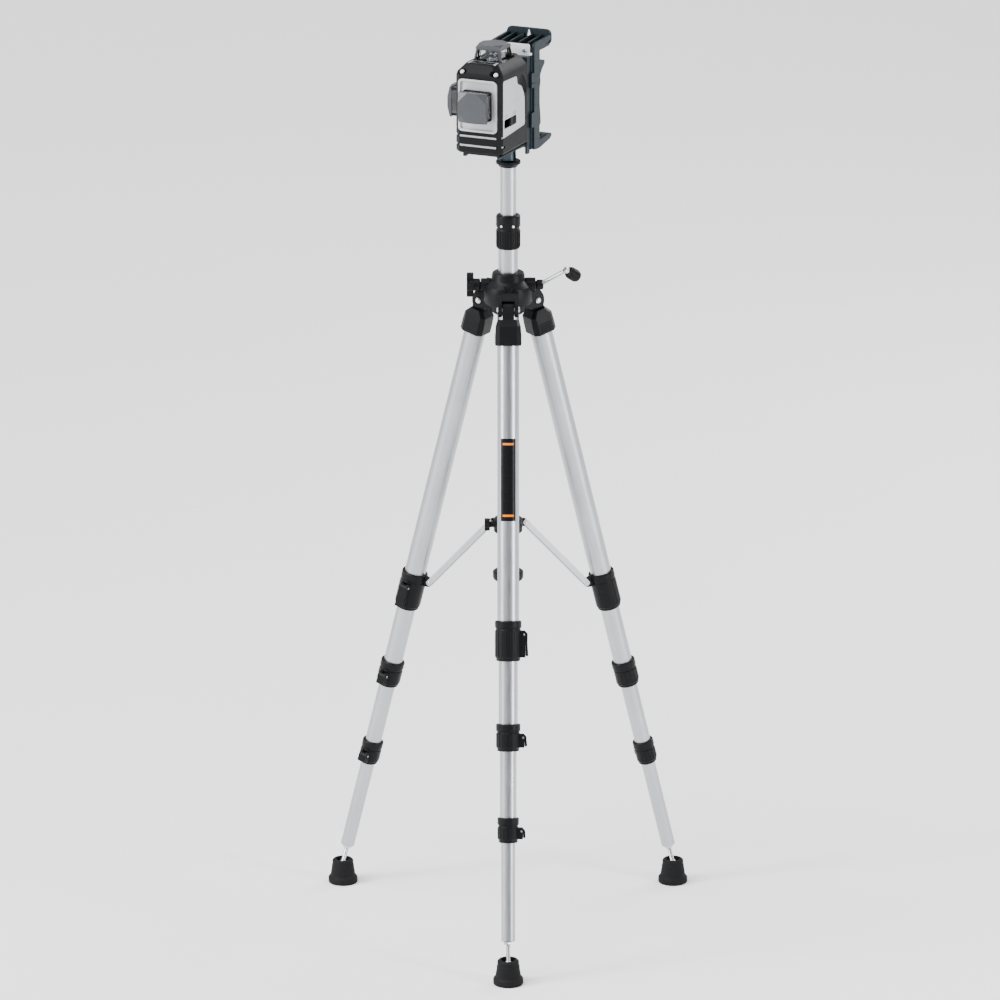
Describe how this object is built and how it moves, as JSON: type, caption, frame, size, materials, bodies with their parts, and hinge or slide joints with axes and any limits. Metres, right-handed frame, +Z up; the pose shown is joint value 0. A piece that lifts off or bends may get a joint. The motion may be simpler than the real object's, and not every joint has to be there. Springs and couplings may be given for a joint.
{
  "type": "laser level on tripod",
  "caption": "Cross-line laser level with window heads on a clamp bracket, screwed to a crank-column tripod with telescopic flip-lock legs and braces.",
  "frame": {"origin": "middle of the footprint of the three feet, at floor level", "axes": "+Z up along the column, -Y the way the laser looks, +X the side with the power switch"},
  "size_m": [0.4764, 0.5148, 1.2836],
  "materials": {
    "aluminium": "satin anodised",
    "tripod_plastic": "fine moulded grain",
    "rubber_foot": "matt",
    "laser_rubber": "matt soft-touch",
    "silver_plastic": "satin",
    "bracket_plastic": "fine moulded grain",
    "steel": "plated",
    "knob_metal": "blackened, knurled",
    "window_glass": "clear",
    "head_frame": "satin gloss",
    "pendulum_metal": "turned"
  },
  "bodies": {
    "stand": {"crown": "tripod_plastic", "guide_tube": "aluminium", "guide_end_cap": "tripod_plastic"},
    "leg_a_upper": {"leg_a_shoulder": "tripod_plastic", "leg_a_tube_1": "aluminium", "leg_a_lock_1": "tripod_plastic"},
    "leg_a_second": {"leg_a_tube_2": "aluminium", "leg_a_lock_2": "tripod_plastic"},
    "leg_a_third": {"leg_a_tube_3": "aluminium", "leg_a_lock_3": "tripod_plastic"},
    "leg_a_last": {"leg_a_tube_4": "aluminium"},
    "leg_a_foot": {"leg_a_foot": "rubber_foot"},
    "leg_b_upper": {"leg_b_shoulder": "tripod_plastic", "leg_b_tube_1": "aluminium", "leg_b_lock_1": "tripod_plastic"},
    "leg_b_second": {"leg_b_tube_2": "aluminium", "leg_b_lock_2": "tripod_plastic"},
    "leg_b_third": {"leg_b_tube_3": "aluminium", "leg_b_lock_3": "tripod_plastic"},
    "leg_b_last": {"leg_b_tube_4": "aluminium"},
    "leg_b_foot": {"leg_b_foot": "rubber_foot"},
    "leg_c_upper": {"leg_c_shoulder": "tripod_plastic", "leg_c_tube_1": "aluminium", "leg_c_lock_1": "tripod_plastic"},
    "leg_c_second": {"leg_c_tube_2": "aluminium", "leg_c_lock_2": "tripod_plastic"},
    "leg_c_third": {"leg_c_tube_3": "aluminium", "leg_c_lock_3": "tripod_plastic"},
    "leg_c_last": {"leg_c_tube_4": "aluminium"},
    "leg_c_foot": {"leg_c_foot": "rubber_foot"},
    "brace_hub": {"brace_hub": "tripod_plastic"},
    "leg_a_brace": {"leg_a_brace": "aluminium"},
    "leg_b_brace": {"leg_b_brace": "aluminium"},
    "leg_c_brace": {"leg_c_brace": "aluminium"},
    "column": {"column_tube": "aluminium"},
    "collar": {"column_collar": "tripod_plastic"},
    "extension": {"extension_tube": "aluminium", "platform": "tripod_plastic"},
    "crank": {"crank": "steel"},
    "crank_grip": {"crank_grip": "tripod_plastic"},
    "column_lock": {"column_lock_knob": "tripod_plastic"},
    "head": {"carriage": "bracket_plastic", "laser_shell": "laser_rubber", "laser_core": "silver_plastic", "battery_door": "laser_rubber", "top_head_frame": "head_frame", "top_head_glass": "window_glass", "front_head_frame": "head_frame", "front_head_glass": "window_glass", "side_head_frame": "head_frame", "side_head_glass": "window_glass"},
    "knob": {"tripod_knob": "knob_metal"},
    "rail": {"rail_body": "bracket_plastic", "strip_plate": "silver_plastic", "strip_screw_left": "steel", "strip_screw_right": "steel", "lever_pin": "steel"},
    "lever": {"clamp_lever": "bracket_plastic"},
    "slider": {"power_slider": "tripod_plastic"},
    "pendulum": {"pendulum": "pendulum_metal"}
  },
  "joints": [
    {"name": "leg_a_fold", "type": "hinge", "parent": "stand", "child": "leg_a_upper", "pos_m": [0.07209, -0.0222, 0.904], "axis": [0.9135, 0.4067, 0], "range_deg": [0, 12]},
    {"name": "leg_a_extend_1", "type": "slide", "parent": "leg_a_upper", "child": "leg_a_second", "axis": [0.1053, -0.2364, -0.9659], "range_m": [-0.085, 0.19]},
    {"name": "leg_a_extend_2", "type": "slide", "parent": "leg_a_second", "child": "leg_a_third", "axis": [0.1053, -0.2364, -0.9659], "range_m": [-0.09, 0.18]},
    {"name": "leg_a_extend_3", "type": "slide", "parent": "leg_a_third", "child": "leg_a_last", "axis": [0.1053, -0.2364, -0.9659], "range_m": [-0.13, 0.15]},
    {"name": "leg_a_foot_tilt", "type": "hinge", "parent": "leg_a_last", "child": "leg_a_foot", "pos_m": [0.16747, -0.23641, 0.02887], "axis": [0.9135, 0.4067, 0], "range_deg": [-12, 12]},
    {"name": "leg_b_fold", "type": "hinge", "parent": "stand", "child": "leg_b_upper", "pos_m": [0.07933, 0.04671, 0.904], "axis": [-0.809, 0.5878, 0], "range_deg": [0, 12]},
    {"name": "leg_b_extend_1", "type": "slide", "parent": "leg_b_upper", "child": "leg_b_second", "axis": [0.1521, 0.2094, -0.9659], "range_m": [-0.085, 0.19]},
    {"name": "leg_b_extend_2", "type": "slide", "parent": "leg_b_second", "child": "leg_b_third", "axis": [0.1521, 0.2094, -0.9659], "range_m": [-0.09, 0.18]},
    {"name": "leg_b_extend_3", "type": "slide", "parent": "leg_b_third", "child": "leg_b_last", "axis": [0.1521, 0.2094, -0.9659], "range_m": [-0.13, 0.15]},
    {"name": "leg_b_foot_tilt", "type": "hinge", "parent": "leg_b_last", "child": "leg_b_foot", "pos_m": [0.21716, 0.23641, 0.02887], "axis": [-0.809, 0.5878, 0], "range_deg": [-12, 12]},
    {"name": "leg_c_fold", "type": "hinge", "parent": "stand", "child": "leg_c_upper", "pos_m": [0.01604, 0.01853, 0.904], "axis": [-0.1045, -0.9945, 0], "range_deg": [0, 12]},
    {"name": "leg_c_extend_1", "type": "slide", "parent": "leg_c_upper", "child": "leg_c_second", "axis": [-0.2574, 0.0271, -0.9659], "range_m": [-0.085, 0.19]},
    {"name": "leg_c_extend_2", "type": "slide", "parent": "leg_c_second", "child": "leg_c_third", "axis": [-0.2574, 0.0271, -0.9659], "range_m": [-0.09, 0.18]},
    {"name": "leg_c_extend_3", "type": "slide", "parent": "leg_c_third", "child": "leg_c_last", "axis": [-0.2574, 0.0271, -0.9659], "range_m": [-0.13, 0.15]},
    {"name": "leg_c_foot_tilt", "type": "hinge", "parent": "leg_c_last", "child": "leg_c_foot", "pos_m": [-0.21716, 0.04304, 0.02887], "axis": [-0.1045, -0.9945, 0], "range_deg": [-12, 12]},
    {"name": "brace_hub_slide", "type": "slide", "parent": "stand", "child": "brace_hub", "axis": [0, 0, 1], "range_m": [0, 0.031]},
    {"name": "leg_a_brace_swing", "type": "hinge", "parent": "brace_hub", "child": "leg_a_brace", "pos_m": [0.0668, -0.01032, 0.581], "axis": [0.9135, 0.4067, 0], "range_deg": [0, 40.05]},
    {"name": "leg_b_brace_swing", "type": "hinge", "parent": "brace_hub", "child": "leg_b_brace", "pos_m": [0.07169, 0.03619, 0.581], "axis": [-0.809, 0.5878, 0], "range_deg": [0, 40.05]},
    {"name": "leg_c_brace_swing", "type": "hinge", "parent": "brace_hub", "child": "leg_c_brace", "pos_m": [0.02897, 0.01717, 0.581], "axis": [-0.1045, -0.9945, 0], "range_deg": [0, 40.05]},
    {"name": "column_lift", "type": "slide", "parent": "stand", "child": "column", "axis": [0, 0, 1], "range_m": [-0.03, 0.2]},
    {"name": "crank_turn", "type": "hinge", "parent": "stand", "child": "crank", "pos_m": [0.05582, 0.01435, 0.929], "axis": [0.9135, 0.4067, 0], "range_deg": [-220, 1440]},
    {"name": "crank_grip_spin", "type": "hinge", "parent": "crank", "child": "crank_grip", "pos_m": [0.13796, 0.02648, 0.95561], "axis": [0.4465, 0.705, -0.551], "continuous": true},
    {"name": "column_lock_turn", "type": "hinge", "parent": "stand", "child": "column_lock", "pos_m": [0.05582, 0.01435, 0.929], "axis": [-0.9135, -0.4067, 0], "range_deg": [0, 270]},
    {"name": "collar_twist", "type": "hinge", "parent": "column", "child": "collar", "pos_m": [0.05582, 0.01435, 1], "axis": [0, 0, 1], "range_deg": [0, 90]},
    {"name": "extension_slide", "type": "slide", "parent": "column", "child": "extension", "axis": [0, 0, 1], "range_m": [-0.065, 0.12]},
    {"name": "head_swivel", "type": "hinge", "parent": "extension", "child": "head", "pos_m": [0.05582, 0.01435, 1.107], "axis": [0, 0, 1], "continuous": true},
    {"name": "knob_turn", "type": "hinge", "parent": "head", "child": "knob", "pos_m": [0.05582, 0.01435, 1.115], "axis": [0, 0, 1], "continuous": true},
    {"name": "rail_slide", "type": "slide", "parent": "head", "child": "rail", "axis": [0, 0, 1], "range_m": [-0.03, 0.03]},
    {"name": "lever_squeeze", "type": "hinge", "parent": "rail", "child": "lever", "pos_m": [0.05582, 0.05215, 1.2115], "axis": [-1, 0, 0], "range_deg": [0, 8], "stiffness_Nm_per_rad": 0.8, "springref_deg": -14.32},
    {"name": "power_slide", "type": "slide", "parent": "head", "child": "slider", "axis": [0, -1, 0], "range_m": [0, 0.0155]},
    {"name": "pendulum_swing", "type": "hinge", "parent": "head", "child": "pendulum", "pos_m": [0.05582, -0.04265, 1.2393], "axis": [0, 1, 0], "range_deg": [-4, 4]}
  ],
  "couplings": [
    {"joint": "brace_hub_slide", "follows": "leg_a_fold", "m_per_rad": 0.14728},
    {"joint": "leg_b_fold", "follows": "leg_a_fold", "ratio": 1},
    {"joint": "leg_c_fold", "follows": "leg_a_fold", "ratio": 1},
    {"joint": "leg_a_brace_swing", "follows": "leg_a_fold", "ratio": 3.3331},
    {"joint": "leg_b_brace_swing", "follows": "leg_a_fold", "ratio": 3.3331},
    {"joint": "leg_c_brace_swing", "follows": "leg_a_fold", "ratio": 3.3331},
    {"joint": "crank_turn", "follows": "column_lift", "rad_per_m": 125}
  ]
}
